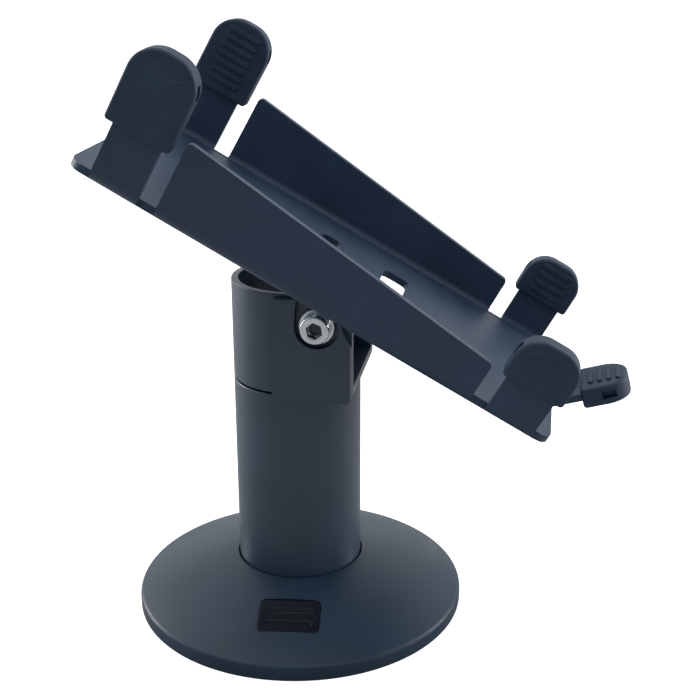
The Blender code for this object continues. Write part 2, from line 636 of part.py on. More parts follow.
def make_caps():
    """Long caps on the high fingers, short caps on the low fingers and on the end tab."""
    lean = cos(radians(WALL_LEAN))
    rear_top = (REAR_FINGER_TOP - FLOOR_LOW) / lean - LONG_CAP_START
    front_top = (FRONT_FINGER_TOP - FLOOR_LOW) / lean - SHORT_CAP_START
    rear_half = (REAR_FINGER[1] - REAR_FINGER[0]) / 2
    front_half = (FRONT_FINGER[1] - FRONT_FINGER[0]) / 2
    rear_lug = (REAR_LUG - FLOOR_LOW) / lean - LONG_CAP_START
    front_lug = (FRONT_LUG - FLOOR_LOW) / lean - SHORT_CAP_START
    for side_name, side in (("near", -1), ("far", 1)):
        frame = finger_frame(REAR_FINGER, side, LONG_CAP_START)
        make_cap(f"long_cap_{side_name}", LONG_CAP, rear_half, rear_top, rear_lug, frame)
        frame = finger_frame(FRONT_FINGER, side, SHORT_CAP_START)
        make_cap(f"short_cap_{side_name}", SHORT_CAP, front_half, front_top, front_lug, frame)
    end_top = TAB_LENGTH - END_CAP_START
    make_cap("end_cap", SHORT_CAP, TAB_HALF_WIDTH, end_top, END_LUG, tab_frame(END_CAP_START))


# ------------------------------------------------------------------ build
clear_scene()
PARTS = new_collection(OBJECT_NAME)
CUTTERS = new_collection("cutters")

POWDER = material("powder_coated_sheet", (0.020, 0.024, 0.030), 0.55)
SATIN = material("satin_coated_metal", (0.018, 0.022, 0.028), 0.38)
GLOSS = material("glossy_inlay", (0.010, 0.012, 0.016), 0.15)
RUBBER = material("black_rubber", (0.014, 0.015, 0.017), 0.62)
STAINLESS = material("stainless_steel", (0.62, 0.61, 0.58), 0.22, 1.0)
STEEL = material("black_oxide_steel", (0.08, 0.08, 0.085), 0.40, 1.0)
ZINC = material("zinc_plated_steel", (0.50, 0.50, 0.52), 0.35, 1.0)
NYLON = material("nylon", (0.70, 0.69, 0.64), 0.50)

SWIVEL_AXIS = None
TILT_AXIS = axis_empty("tilt_axis", (PIVOT_X, 0, PIVOT_Z), radians(REST_TILT))

make_base()
make_pole()
make_swivel()
make_head()
make_pivot_hardware()
make_bracket()
make_bracket_screws()
make_cradle_plate()
make_caps()
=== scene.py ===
"""Looks of the swivel and tilt counter stand: rounded pieces over the CAD, materials, light and camera.

Lengths are in millimetres until a mesh is made.  Cradle pieces are drawn in cradle coordinates: u along the
floor towards its low end, y along the tilt axis, v square to the floor, all from the tilt pivot.
"""
import json
from math import atan2, cos, degrees, pi, radians, sin, tan

import bmesh
import bpy
from mathutils import Matrix, Vector


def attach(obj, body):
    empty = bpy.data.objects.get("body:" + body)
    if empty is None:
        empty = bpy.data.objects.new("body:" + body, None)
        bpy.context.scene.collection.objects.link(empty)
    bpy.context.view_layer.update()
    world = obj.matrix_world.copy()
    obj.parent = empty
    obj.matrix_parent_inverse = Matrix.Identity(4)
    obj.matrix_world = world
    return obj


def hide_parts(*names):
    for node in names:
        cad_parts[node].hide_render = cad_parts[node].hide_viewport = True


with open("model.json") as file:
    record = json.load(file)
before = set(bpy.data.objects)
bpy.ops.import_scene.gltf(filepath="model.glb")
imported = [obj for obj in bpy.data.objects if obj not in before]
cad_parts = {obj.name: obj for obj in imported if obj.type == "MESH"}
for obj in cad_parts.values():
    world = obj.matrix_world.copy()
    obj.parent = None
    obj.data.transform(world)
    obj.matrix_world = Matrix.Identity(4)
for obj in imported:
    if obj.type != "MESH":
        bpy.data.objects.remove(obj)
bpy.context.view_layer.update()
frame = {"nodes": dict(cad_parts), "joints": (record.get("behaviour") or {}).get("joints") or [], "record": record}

MM = 0.001
SIDES = (("near", -1), ("far", 1))

# camera, fitted to the base, pole and cradle
LENS = 63.45
TARGET = Vector((18.97, 0.0, 98.05)) * MM
DISTANCE = 434.3 * MM
AZIMUTH = 9.46
ELEVATION = 19.86
ROLL = -0.06

# strength and colour of the surroundings on the viewer's side and behind the stand
FRONT_LIGHT = 0.22
BACK_LIGHT = 1.2
FRONT_TINT = (0.42, 0.68, 1.0, 1.0)
BACK_TINT = (0.92, 0.97, 1.0, 1.0)

# soft boxes in metres: name, place, size and power; all look at one point
LIGHT_AIM = (0.0, 0.0, 0.1)
LIGHTS = (("overhead", (-0.15, 0.0, 0.9), (1.0, 1.0), 1.5),
          ("left_box", (-0.9, 0.25, 0.2), (0.4, 0.7), 7.0),
          ("right_box", (0.9, 0.35, 0.2), (0.3, 0.7), 6.0))
FLOOR_HALF = 6000.0
FLOOR_TONE = 0.45

# gap between pieces that fit together
FIT_GAP = 0.3

# base
PAD_ROOM = 56.6
PAD_TOP = 1.8
BASE_RADIUS = 60.0
BASE_LIFT = 0.2
RIM_HEIGHT = 6.0
RIM_ROUND = 2.0
DOME_TOP = 18.4
DOME_BULGE = 1.2
SOCKET_RADIUS = 22.9
SOCKET_FLOOR = 12.0
CABLE_BORE = 8.0
SCREW_CIRCLE = 14.0
SCREW_BEARINGS = (40.0, 160.0, 280.0)
POCKET_RADIUS = 4.8
POCKET_TOP = 7.4
POCKET_HOLE = 2.8

# badge
BADGE_BEARING = -84.0
BADGE_RADIUS = 40.0
BADGE_SLOPE = 19.0
BADGE_HEIGHT = 13.0
BADGE_SIZE = (21.0, 14.0)
BADGE_CORNER = 2.0
STRIPES = ((-3.9, -1.7), (0.6, 1.6), (2.6, 3.6))

# pole and swivel head
POLE_RADIUS = 22.5
POLE_WALL = 2.2
POLE_LOW = 12.3
POLE_TOP = 88.4
HEAD_FLOOR = (89.2, 92.2)
HEAD_FRONT = 23.5
HEAD_RIM = 124.6
LEAF = 2.5
CHEEK_FACE = 25.3
CHEEK_LOW = 87.7
CHEEK_TOP = 123.4
CHEEK_REAR = -3.4
CHEEK_FRONT = 23.3
POLE_ROOM = (22.9, 88.9)
STUD_ROOM = 10.3
NOTCH_RADIUS = 7.5
PIVOT_HOLE = 3.3
STOP_CIRCLE = 17.3
STOP_ROOM = 1.8
STOP_REACH = 171.3

# pivot screw and washer: radii, and distances from the middle along the tilt axis
SCREW_FACE = 28.7
BUTTON_RADIUS = 5.0
BUTTON_SEAT = 24.7
SHANK_RADIUS = 3.0
SHANK_END = 11.2
WRENCH_HALF = 2.5
WRENCH_TURN = 8.0
WRENCH_FLOOR = 26.0
# radius inside which the screw's steel is painted near black as shade in the wrench socket
WRENCH_SHADE = 2.45
WASHER_RADII = (5.9, 6.1)
WASHER_FACES = (22.8, 24.4)

# cradle
PIVOT = Vector(frame["joints"][1]["pos_m"]) / MM
REST_TILT = 29.1
SHEET = 2.5
FLOOR_LOW = 11.6
FLOOR_TOP = FLOOR_LOW + SHEET
BEND = 5.0
HALF_WIDTH = 46.0
FLAP_RISE = 52.0
LEAN = radians(3.0)
FLAP_LINE = 42.6
FLOOR_ENDS = (-92.8, 81.6)
FLOOR_CORNER = 6.0
WALL = ((-60.9, 39.9), (52.6, 27.6))
REAR_FINGER = dict(ends=(-84.0, -67.3), top=58.0, lug=52.2)
FRONT_FINGER = dict(ends=(58.4, 75.1), top=40.0, lug=34.5)
FINGER_CORNER = 2.4
LUG_REACH = 1.2
LUG_HEIGHT = 2.4
TAB_BEND = 82.4
TAB_TURN = radians(45.0)
TAB_HALF = 8.4
TAB_LENGTH = 24.9
TAB_CORNER = 3.0
TAB_GAP = 1.4
END_LUG = 7.8
SLOTS = ((-15.3, -7.4), (10.7, 20.6))
SLOT_HALF = 23.4
SLOT_CORNER = 2.6
BRACKET_SCREWS = [(u, y) for u in (-3.4, 5.0) for y in (-7.0, 7.0)]
SINK_RADII = (1.8, 5.4)
SINK_DEPTH = 1.6

# rubber caps
CAP_THICKNESS = 7.1
CAP_MOUTH = 1.3
CAP_EDGE = 1.1
LONG_CAP = dict(width=22.6, height=27.8, corner=9.8, ribs=7, start=21.9)
SHORT_CAP = dict(width=21.4, height=16.3, corner=8.2, ribs=4, start=15.6)
END_CAP = dict(SHORT_CAP, start=11.2)
RIB_PITCH = 3.1
RIB_LENGTH = 12.6
RIB_WIDTH = 1.7
RIB_RISE = 0.7
RIB_EDGE = 0.3
RIB_SHIFT = 0.3


# ------------------------------------------------------------------ outlines
def arc(centre, radius, start, end, steps):
    """Points on an arc, angles in degrees."""
    turns = [radians(start + (end - start) * i / steps) for i in range(steps + 1)]
    return [(centre[0] + radius * cos(t), centre[1] + radius * sin(t)) for t in turns]


def circle(radius, steps, centre=(0.0, 0.0)):
    """Points on a full circle."""
    return arc(centre, radius, 0, 360, steps)[:-1]


def rounded(corners, step_angle=9.0):
    """A closed outline from corners (x, y) or (x, y, radius)."""
    outline = []
    for i, corner in enumerate(corners):
        here = Vector(corner[:2])
        if len(corner) == 2:
            outline.append(tuple(here))
            continue
        back = (Vector(corners[i - 1][:2]) - here).normalized()
        ahead = (Vector(corners[(i + 1) % len(corners)][:2]) - here).normalized()
        half = back.angle(ahead) / 2
        centre = here + (back + ahead).normalized() * corner[2] / sin(half)
        first = here + back * corner[2] / tan(half) - centre
        last = here + ahead * corner[2] / tan(half) - centre
        start = degrees(atan2(first.y, first.x))
        sweep = (degrees(atan2(last.y, last.x)) - start + 180) % 360 - 180
        steps = max(3, round(abs(sweep) / step_angle))
        outline += arc(tuple(centre), corner[2], start, start + sweep, steps)
    return outline


def rectangle(half_x, half_y, radius):
    """Rounded rectangle about the middle."""
    return rounded([(x * half_x, y * half_y, radius) for x, y in ((-1, -1), (1, -1), (1, 1), (-1, 1))])


def corner_waste(corner, inwards, radius):
    """What lies outside one rounded corner; 'inwards' gives the signs towards the material."""
    centre = [corner[k] + inwards[k] * radius for k in (0, 1)]
    quarter = arc((0, 0), radius, 0, 90, 10)
    curve = [(centre[0] - inwards[0] * x, centre[1] - inwards[1] * y) for x, y in quarter]
    beyond = [corner[k] - inwards[k] * 9 for k in (0, 1)]
    return curve + [(centre[0], beyond[1]), tuple(beyond), (beyond[0], centre[1])]


# ------------------------------------------------------------------ solids
def mesh_object(name, points, faces):
    """An object with outward faces from points in millimetres."""
    mesh = bpy.data.meshes.new(name)
    mesh.from_pydata([Vector(p) * MM for p in points], [], faces)
    shell = bmesh.new()
    shell.from_mesh(mesh)
    bmesh.ops.recalc_face_normals(shell, faces=shell.faces)
    shell.to_mesh(mesh)
    shell.free()
    made = bpy.data.objects.new(name, mesh)
    bpy.context.scene.collection.objects.link(made)
    return made


def prism(name, outline, low, high, along="z"):
    """A solid between two copies of an outline; 'x' takes (y, z), 'y' takes (x, z), 'z' takes (x, y)."""
    place = {"x": lambda a, b, c: (c, a, b), "y": lambda a, b, c: (a, c, b), "z": lambda a, b, c: (a, b, c)}
    count = len(outline)
    points = [place[along](a, b, level) for level in (low, high) for a, b in outline]
    faces = [tuple(range(count)), tuple(range(count, 2 * count))]
    faces += [(i, (i + 1) % count, count + (i + 1) % count, count + i) for i in range(count)]
    return mesh_object(name, points, faces)


def box(name, x_range, y_range, z_range):
    """A rectangular block."""
    (x0, x1), (y0, y1) = x_range, y_range
    return prism(name, [(x0, y0), (x1, y0), (x1, y1), (x0, y1)], *z_range)


def turned(name, profile, steps, centre=(0.0, 0.0), along="z"):
    """A solid of revolution from a closed (radius, height) profile."""
    points = []
    rings = []
    for radius, height in profile:
        count = steps if radius else 1
        ring = list(range(len(points), len(points) + count))
        rings.append(ring * (steps // count))
        points += [(x, y, height) for x, y in circle(radius, count)] if radius else [(0.0, 0.0, height)]
    faces = []
    for k, low in enumerate(rings):
        high = rings[(k + 1) % len(rings)]
        for i in range(steps):
            corners = dict.fromkeys((low[i], low[(i + 1) % steps], high[(i + 1) % steps], high[i]))
            if len(corners) > 2:
                faces.append(tuple(corners))
    if along == "z":
        points = [(x + centre[0], y + centre[1], z) for x, y, z in points]
    else:
        points = [(x + centre[0], z, centre[1] - y) for x, y, z in points]
    return mesh_object(name, points, faces)


def combine(piece, tool, operation="DIFFERENCE"):
    """Cut, join or intersect a piece with a tool."""
    step = piece.modifiers.new(tool.name, "BOOLEAN")
    step.object = tool
    step.operation = operation
    step.solver = "EXACT"


def soften(piece, width, segments=2, limit=35.0):
    """Round the edges of a piece."""
    step = piece.modifiers.new("soft_edges", "BEVEL")
    step.width = width * MM
    step.segments = segments
    step.limit_method = "ANGLE"
    step.angle_limit = radians(limit)
    step.miter_outer = "MITER_ARC"


def settle(piece):
    """Turn a piece and its modifiers into one plain mesh and drop its tools."""
    tools = [step.object for step in piece.modifiers if step.type == "BOOLEAN"]
    graph = bpy.context.evaluated_depsgraph_get()
    mesh = bpy.data.meshes.new_from_object(piece.evaluated_get(graph))
    piece.modifiers.clear()
    piece.data = mesh
    for tool in tools:
        bpy.data.objects.remove(tool)
    return piece


def shade(piece, limit=38.0):
    """Smooth faces, crisp corners and flat faces that stay flat."""
    piece.data.shade_smooth()
    piece.data.set_sharp_from_angle(angle=radians(limit))
    step = piece.modifiers.new("weighted_normals", "WEIGHTED_NORMAL")
    step.keep_sharp = True
    settle(piece)


def present(piece, node, body, look, place=None):
    """Settle a piece, set it in its place and let it stand for a CAD node."""
    settle(piece)
    if place is not None:
        piece.data.transform(place)
    shade(piece)
    piece.data.materials.clear()
    piece.data.materials.append(look["material"])
    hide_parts(node)
    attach(piece, body)
    return piece


# ------------------------------------------------------------------ materials
def new_material(name, slot, roughness, metallic=0.0, specular=0.5):
    """A Principled material with object coordinates at hand."""
    made = bpy.data.materials.new(name)
    made.use_nodes = True
    nodes = made.node_tree.nodes
    shader = nodes["Principled BSDF"]
    shader.inputs["Roughness"].default_value = roughness
    shader.inputs["Metallic"].default_value = metallic
    shader.inputs["Specular IOR Level"].default_value = specular
    return dict(material=made, slot=slot, nodes=nodes, links=made.node_tree.links, shader=shader,
                space=nodes.new("ShaderNodeTexCoord").outputs["Object"], roughness=roughness)


def noise(look, size, detail=2.0, rough=0.5, stretch=None):
    """Noise with features of a given size in millimetres."""
    texture = look["nodes"].new("ShaderNodeTexNoise")
    texture.inputs["Scale"].default_value = 1.0 / (size * MM)
    texture.inputs["Detail"].default_value = detail
    texture.inputs["Roughness"].default_value = rough
    source = look["space"]
    if stretch:
        mapping = look["nodes"].new("ShaderNodeMapping")
        mapping.inputs["Scale"].default_value = stretch
        look["links"].new(source, mapping.inputs["Vector"])
        source = mapping.outputs["Vector"]
    look["links"].new(source, texture.inputs["Vector"])
    return texture.outputs["Fac"]


def remap(look, value, low, high, to_low, to_high):
    """Clamp a value to a range and move it to another one."""
    step = look["nodes"].new("ShaderNodeMapRange")
    for name, number in (("From Min", low), ("From Max", high), ("To Min", to_low), ("To Max", to_high)):
        step.inputs[name].default_value = number
    look["links"].new(value, step.inputs["Value"])
    return step.outputs["Result"]


def math(look, operation, first, second):
    """A math node on sockets or numbers."""
    step = look["nodes"].new("ShaderNodeMath")
    step.operation = operation
    for socket, value in zip(step.inputs, (first, second)):
        if isinstance(value, (int, float)):
            socket.default_value = value
        else:
            look["links"].new(value, socket)
    return step.outputs[0]


def blend(look, share, first, second):
    """Mix two colours, each a colour or a socket."""
    step = look["nodes"].new("ShaderNodeMix")
    step.data_type = "RGBA"
    look["links"].new(share, step.inputs["Factor"])
    for socket, value in ((step.inputs[6], first), (step.inputs[7], second)):
        if isinstance(value, tuple):
            socket.default_value = (*value, 1.0)
        else:
            look["links"].new(value, socket)
    return step.outputs[2]


def bump(look, height, depth, strength=1.0):
    """Raise the surface by a height field, depth in millimetres."""
    step = look["nodes"].new("ShaderNodeBump")
    step.inputs["Distance"].default_value = depth * MM
    step.inputs["Strength"].default_value = strength
    look["links"].new(height, step.inputs["Height"])
    look["links"].new(step.outputs["Normal"], look["shader"].inputs["Normal"])


def connect(look, name, value):
    """Feed a socket of the shader."""
    look["links"].new(value, look["shader"].inputs[name])


def coated_metal(name, slot, colour, speck, roughness, grain, depth, specular):
    """Coated metal: fine grain, sparse light specks and a slow drift of tone and gloss."""
    look = new_material(name, slot, roughness, specular=specular)
    fine = noise(look, grain, 3.0)
    drift = noise(look, 34.0, 2.0)
    tone = blend(look, remap(look, drift, 0.3, 0.7, 0.0, 1.0), colour, tuple(c * 1.35 for c in colour))
    specks = remap(look, noise(look, grain, 1.0), 0.58, 0.76, 0.0, 1.0)
    connect(look, "Base Color", blend(look, specks, tone, speck))
    slow = remap(look, drift, 0.3, 0.7, -0.05, 0.05)
    uneven = math(look, "ADD", slow, remap(look, fine, 0.3, 0.7, -0.06, 0.06))
    connect(look, "Roughness", math(look, "ADD", uneven, roughness))
    bump(look, fine, depth)
    return look


def rubber():
    """Matte moulded rubber with fine grain, dust and faint scuffs."""
    look = new_material("moulded_rubber", "black_rubber", 0.62, specular=0.32)
    fine = noise(look, 0.5, 4.0)
    cloud = noise(look, 9.0, 3.0)
    dust = remap(look, cloud, 0.35, 0.7, 0.0, 1.0)
    tone = blend(look, dust, (0.0150, 0.0270, 0.0500), (0.024, 0.040, 0.066))
    scuff = remap(look, noise(look, 2.6, 5.0, 0.65, (0.35, 1.0, 1.9)), 0.60, 0.72, 0.0, 0.6)
    connect(look, "Base Color", blend(look, scuff, tone, (0.055, 0.066, 0.080)))
    connect(look, "Roughness", remap(look, cloud, 0.3, 0.7, 0.56, 0.70))
    bump(look, fine, 0.05)
    return look


def socket_shade(look, from_axis):
    """Mask of the painted shade: one inside the wrench socket round the axis along Y, nought outside it."""
    flat = look["nodes"].new("ShaderNodeVectorMath")
    flat.operation = "MULTIPLY"
    flat.inputs[1].default_value = (1.0, 0.0, 1.0)
    look["links"].new(from_axis, flat.inputs[0])
    radius = look["nodes"].new("ShaderNodeVectorMath")
    radius.operation = "LENGTH"
    look["links"].new(flat.outputs["Vector"], radius.inputs[0])
    near, far = (WRENCH_SHADE - 0.1) * MM, (WRENCH_SHADE + 0.1) * MM
    return remap(look, radius.outputs["Value"], near, far, 1.0, 0.0)


def turned_steel(name, slot, colour, roughness, centre):
    """Polished or plated steel with fine turning rings about an axis along Y, and the wrench socket painted near
    black as shade.
    """
    look = new_material(name, slot, roughness, metallic=1.0)
    rings = look["nodes"].new("ShaderNodeTexWave")
    rings.wave_type = "RINGS"
    rings.rings_direction = "Y"
    rings.inputs["Scale"].default_value = 900.0
    rings.inputs["Distortion"].default_value = 1.5
    shift = look["nodes"].new("ShaderNodeMapping")
    shift.inputs["Location"].default_value = -centre
    look["links"].new(look["space"], shift.inputs["Vector"])
    look["links"].new(shift.outputs["Vector"], rings.inputs["Vector"])
    smudge = noise(look, 3.0, 3.0)
    metal = blend(look, smudge, colour, tuple(c * 0.82 for c in colour))
    # painted shade: the steel inside the wrench socket is coloured near black where shadow falls
    painted_socket_shade = socket_shade(look, shift.outputs["Vector"])
    connect(look, "Base Color", blend(look, painted_socket_shade, metal, (0.045, 0.045, 0.045)))
    connect(look, "Roughness", remap(look, smudge, 0.3, 0.7, roughness - 0.04, roughness + 0.08))
    bump(look, rings.outputs["Fac"], 0.006)
    return look


def plain_metal(name, slot, colour, roughness):
    """Plated or blackened steel of the hidden hardware."""
    look = new_material(name, slot, roughness, metallic=1.0)
    cloud = noise(look, 5.0, 4.0)
    connect(look, "Base Color", blend(look, cloud, colour, tuple(c * 0.7 for c in colour)))
    connect(look, "Roughness", remap(look, cloud, 0.3, 0.7, roughness - 0.06, roughness + 0.1))
    bump(look, noise(look, 0.4, 2.0), 0.01)
    return look


def plastic(name, slot, colour, roughness):
    """Moulded plastic with a faint grain."""
    look = new_material(name, slot, roughness)
    cloud = noise(look, 7.0, 3.0)
    connect(look, "Base Color", blend(look, cloud, colour, tuple(c * 0.8 for c in colour)))
    connect(look, "Roughness", remap(look, cloud, 0.3, 0.7, roughness - 0.04, roughness + 0.06))
    bump(look, noise(look, 0.6, 2.0), 0.008)
    return look


POWDER = coated_metal("powder_coat", "powder_coated_sheet", (0.0150, 0.0275, 0.0520), (0.034, 0.054, 0.088),
                      roughness=0.52, grain=0.55, depth=0.07, specular=0.42)
SATIN = coated_metal("satin_coat", "satin_coated_metal", (0.0120, 0.0250, 0.0450), (0.015, 0.029, 0.050),
                     roughness=0.38, grain=0.5, depth=0.012, specular=0.62)
BASE_COAT = coated_metal("base_coat", "satin_coated_metal", (0.0100, 0.0210, 0.0380), (0.013, 0.025, 0.043),
                         roughness=0.42, grain=0.5, depth=0.012, specular=0.30)
RUBBER = rubber()
STAINLESS = turned_steel("polished_steel", "stainless_steel", (0.66, 0.66, 0.65), 0.2, PIVOT * MM)
GLOSS = plastic("gloss_inlay", "glossy_inlay", (0.006, 0.009, 0.014), 0.14)
ZINC = plain_metal("zinc_plate", "zinc_plated_steel", (0.50, 0.50, 0.52), 0.35)
OXIDE = plain_metal("black_oxide", "black_oxide_steel", (0.08, 0.08, 0.085), 0.42)
NYLON = plastic("natural_nylon", "nylon", (0.70, 0.69, 0.64), 0.5)


# ------------------------------------------------------------------ base and badge
def dome_curve(steps):
    """The base's outer curve from the table edge over the rim and up the dome to the pole."""
    edge = 0.5
    foot = arc((BASE_RADIUS - edge, BASE_LIFT + edge), edge, -90, 0, 4)
    shoulder = arc((BASE_RADIUS - RIM_ROUND, RIM_HEIGHT - RIM_ROUND), RIM_ROUND, 0, 62, 8)
    start = Vector(shoulder[-1])
    end = Vector((SOCKET_RADIUS + 0.4, DOME_TOP))
    chord = end - start
    bulge = Vector((-chord.y, chord.x)).normalized() * -DOME_BULGE
    spots = [i / steps for i in range(1, steps)]
    dome = [tuple(start + chord * t + bulge * 4 * t * (1 - t)) for t in spots]
    lip = arc((SOCKET_RADIUS + 0.4, DOME_TOP - 0.4), 0.4, 90, 180, 4)
    return foot + shoulder + dome + lip


def badge_frame():
    """Matrix from badge coordinates to the frame."""
    bearing = Matrix.Rotation(radians(BADGE_BEARING) + pi / 2, 4, "Z")
    slope = Matrix.Rotation(radians(BADGE_SLOPE), 4, "X")
    return bearing @ Matrix.Translation((0, -BADGE_RADIUS * MM, BADGE_HEIGHT * MM)) @ slope


def badge_outline(margin):
    """Rounded rectangle of the badge, grown by a margin."""
    return rectangle(BADGE_SIZE[0] / 2 + margin, BADGE_SIZE[1] / 2 + margin, BADGE_CORNER + margin)


def make_base():
    """Domed base with its badge recess and the screw pockets underneath."""
    under = [(CABLE_BORE, PAD_TOP), (PAD_ROOM, PAD_TOP), (PAD_ROOM, BASE_LIFT)]
    socket = [(SOCKET_RADIUS, SOCKET_FLOOR), (CABLE_BORE, SOCKET_FLOOR)]
    base = turned("base_dome", under + dome_curve(18) + socket, 180)
    for bearing in SCREW_BEARINGS:
        place = arc((0, 0), SCREW_CIRCLE, bearing, bearing, 1)[0]
        pocket = [(0, 0), (POCKET_RADIUS, 0), (POCKET_RADIUS, POCKET_TOP), (POCKET_HOLE, POCKET_TOP)]
        pocket += [(POCKET_HOLE, 15), (0, 15)]
        combine(base, turned("screw_pocket", pocket, 32, place))
    hollow = prism("badge_recess", badge_outline(FIT_GAP), -1.2, 6)
    hollow.data.transform(badge_frame())
    combine(base, hollow)
    soften(base, 0.18, 2, 50)
    present(base, "base_plate", "stand", BASE_COAT)


def make_badge():
    """Glossy inlay with three sunk stripes."""
    badge = prism("badge_inlay", badge_outline(0), -0.9, 0.1)
    for low, high in STRIPES:
        stripe = rounded([(-8, low, 0.3), (8, low, 0.3), (8, high, 0.3), (-8, high, 0.3)])
        combine(badge, prism("stripe", stripe, -0.35, 2))
    soften(badge, 0.15)
    present(badge, "base_badge", "stand", GLOSS, badge_frame())


# ------------------------------------------------------------------ pole and head
def make_pole():
    """Pole tube with a small round at its top edge."""
    inner = POLE_RADIUS - POLE_WALL
    edge = arc((POLE_RADIUS - 0.5, POLE_TOP - 0.5), 0.5, 0, 90, 4)
    profile = [(inner, POLE_LOW), (POLE_RADIUS, POLE_LOW)] + edge + [(inner, POLE_TOP)]
    present(turned("pole_skin", profile, 180), "pole_tube", "stand", SATIN)


def head_outline(radius, front):
    """Half round at the back, straight sides to the front."""
    return arc((0, 0), radius, 90, 270, 96) + [(front, -radius), (front, radius)]


def cheek_outline():
    """Raised cheek around the pivot screw with its open-topped notch, seen along the tilt axis."""
    notch = arc((PIVOT.x, PIVOT.z), NOTCH_RADIUS, 180, 360, 28)
    left, right = notch[0][0], notch[-1][0]
    rear = [(left, CHEEK_TOP, 3.4), (CHEEK_REAR, CHEEK_TOP, 1.0)]
    rear += [(CHEEK_REAR, HEAD_FLOOR[0]), (-1.8, CHEEK_LOW)]
    front = [(CHEEK_FRONT, CHEEK_LOW, 2.2), (CHEEK_FRONT, 107.6, 2.0), (right, 115.6, 0.5)]
    return rounded(rear + front) + notch[::-1]


def stop_groove():
    """Arc groove of the stop pin in the head's underside."""
    start, end = 180 - STOP_REACH, 180 + STOP_REACH
    outer = arc((0, 0), STOP_CIRCLE + STOP_ROOM, start, end, 60)
    inner = arc((0, 0), STOP_CIRCLE - STOP_ROOM, end, start, 60)
    return prism("stop_groove", outer + inner, HEAD_FLOOR[0] - 2, 90.8)


def make_head():
    """Swivel head: floor, half-round back and side leaves; it is mirrored after each cheek is joined."""
    head = prism("head_shell", head_outline(POLE_RADIUS, 30), HEAD_FLOOR[0], HEAD_RIM + 5)
    corners = [(-30, 80), (HEAD_FRONT, 80), (HEAD_FRONT, 113.6, 3.0), (8.5, HEAD_RIM, 9.0), (-30, HEAD_RIM)]
    combine(head, prism("side_view", rounded(corners), -40, 40, "y"), "INTERSECT")
    combine(head, prism("inside", head_outline(POLE_RADIUS - LEAF, 40), HEAD_FLOOR[1], HEAD_RIM + 9))
    settle(head)
    soften(head, 0.3)
    settle(head)
    flip_sides = Matrix.Diagonal((1, -1, 1, 1))
    for side_name, _ in SIDES:
        cheek = prism(f"cheek_{side_name}", cheek_outline(), -CHEEK_FACE, 0.8 - POLE_RADIUS, "y")
        soften(cheek, 0.65, 3)
        combine(head, settle(cheek), "UNION")
        settle(head)
        head.data.transform(flip_sides)
        head.data.flip_normals()
    radius, top = POLE_ROOM
    combine(head, turned("pole_room", [(0, 70), (radius, 70), (radius, top), (0, top)], 96))
    bore = [(0, -40), (PIVOT_HOLE, -40), (PIVOT_HOLE, 40), (0, 40)]
    combine(head, turned("pivot_bore", bore, 40, (PIVOT.x, PIVOT.z), "y"))
    combine(head, turned("stud_bore", [(0, 80), (STUD_ROOM, 80), (STUD_ROOM, 99), (0, 99)], 64))
    combine(head, stop_groove())
    present(head, "swivel_head", "head", SATIN)


def make_pivot_screws():
    """Button-head screws with hexagon sockets, and the washers under them."""
    tilt = Matrix.Translation(PIVOT * MM) @ Matrix.Rotation(radians(REST_TILT), 4, "Y")
    for side_name, side in SIDES:
        edge = arc((4.2, 27.9), 0.8, 90, 0, 6)
        profile = [(0, SCREW_FACE)] + edge + [(BUTTON_RADIUS, 24.9), (4.8, BUTTON_SEAT)]
        profile += [(SHANK_RADIUS, BUTTON_SEAT), (SHANK_RADIUS, SHANK_END), (0, SHANK_END)]
        screw = turned(f"tilt_screw_{side_name}", [(r, side * y) for r, y in profile], 72, along="y")
        socket = arc((0, 0), WRENCH_HALF / cos(pi / 6), WRENCH_TURN, WRENCH_TURN + 300, 5)
        combine(screw, prism("socket", socket, side * WRENCH_FLOOR, side * 30.0, "y"))
        soften(screw, 0.12, 2, 50)
        present(screw, f"pivot_screw_{side_name}", "cradle", STAINLESS, tilt)
        (flat, outer), (low, high) = WASHER_RADII, WASHER_FACES
        ring = [(PIVOT_HOLE, low), (flat, low), (outer, 23.0), (outer, 24.2)]
        ring += [(flat, high), (PIVOT_HOLE, high)]
        ring = [(r, side * y) for r, y in ring]
        washer = turned(f"tilt_washer_{side_name}", ring, 72, (PIVOT.x, PIVOT.z), "y")
        present(washer, f"pivot_washer_{side_name}", "head", STAINLESS)


# ------------------------------------------------------------------ cradle
CRADLE = Matrix.Translation(PIVOT * MM) @ Matrix.Rotation(radians(REST_TILT), 4, "Y")


def finger_edge(finger):
    """Outline of one finger, from its front edge over the top to its rear edge."""
    (rear, front), top, lug = finger["ends"], finger["top"], finger["lug"]
    high = lug + LUG_HEIGHT
    front_edge = [(front, 0), (front, lug), (front + LUG_REACH, lug)]
    front_edge += [(front + LUG_REACH, high), (front, high)]
    rear_edge = [(rear, high), (rear - LUG_REACH, high), (rear - LUG_REACH, lug), (rear, lug), (rear, 0)]
    return front_edge + [(front, top, FINGER_CORNER), (rear, top, FINGER_CORNER)] + rear_edge


def flap_waste():
    """What is cut away from each side flap: all round the fingers and the tapered wall."""
    (rear, high), (front, low) = WALL
    wall = [(front, 0), (front, low, 1.6), (rear, high, 1.6), (rear, 0)]
    around = [(-110, 0), (-110, 90), (110, 90), (110, 0)]
    return rounded(around + finger_edge(FRONT_FINGER) + wall + finger_edge(REAR_FINGER))


def plate_section():
    """Cross-section of the folded plate: floor, bends and leaning flaps."""
    wall = SHEET / cos(LEAN)
    foot = HALF_WIDTH + SHEET * tan(LEAN) - wall
    head = HALF_WIDTH + FLAP_RISE * tan(LEAN)
    top = FLOOR_LOW + FLAP_RISE
    right = [(HALF_WIDTH, FLOOR_LOW, BEND), (head, top), (head - wall, top), (foot, FLOOR_TOP, BEND - SHEET)]
    left = [(-corner[0], *corner[1:]) for corner in reversed(right)]
    return rounded(right + left, 8.0)


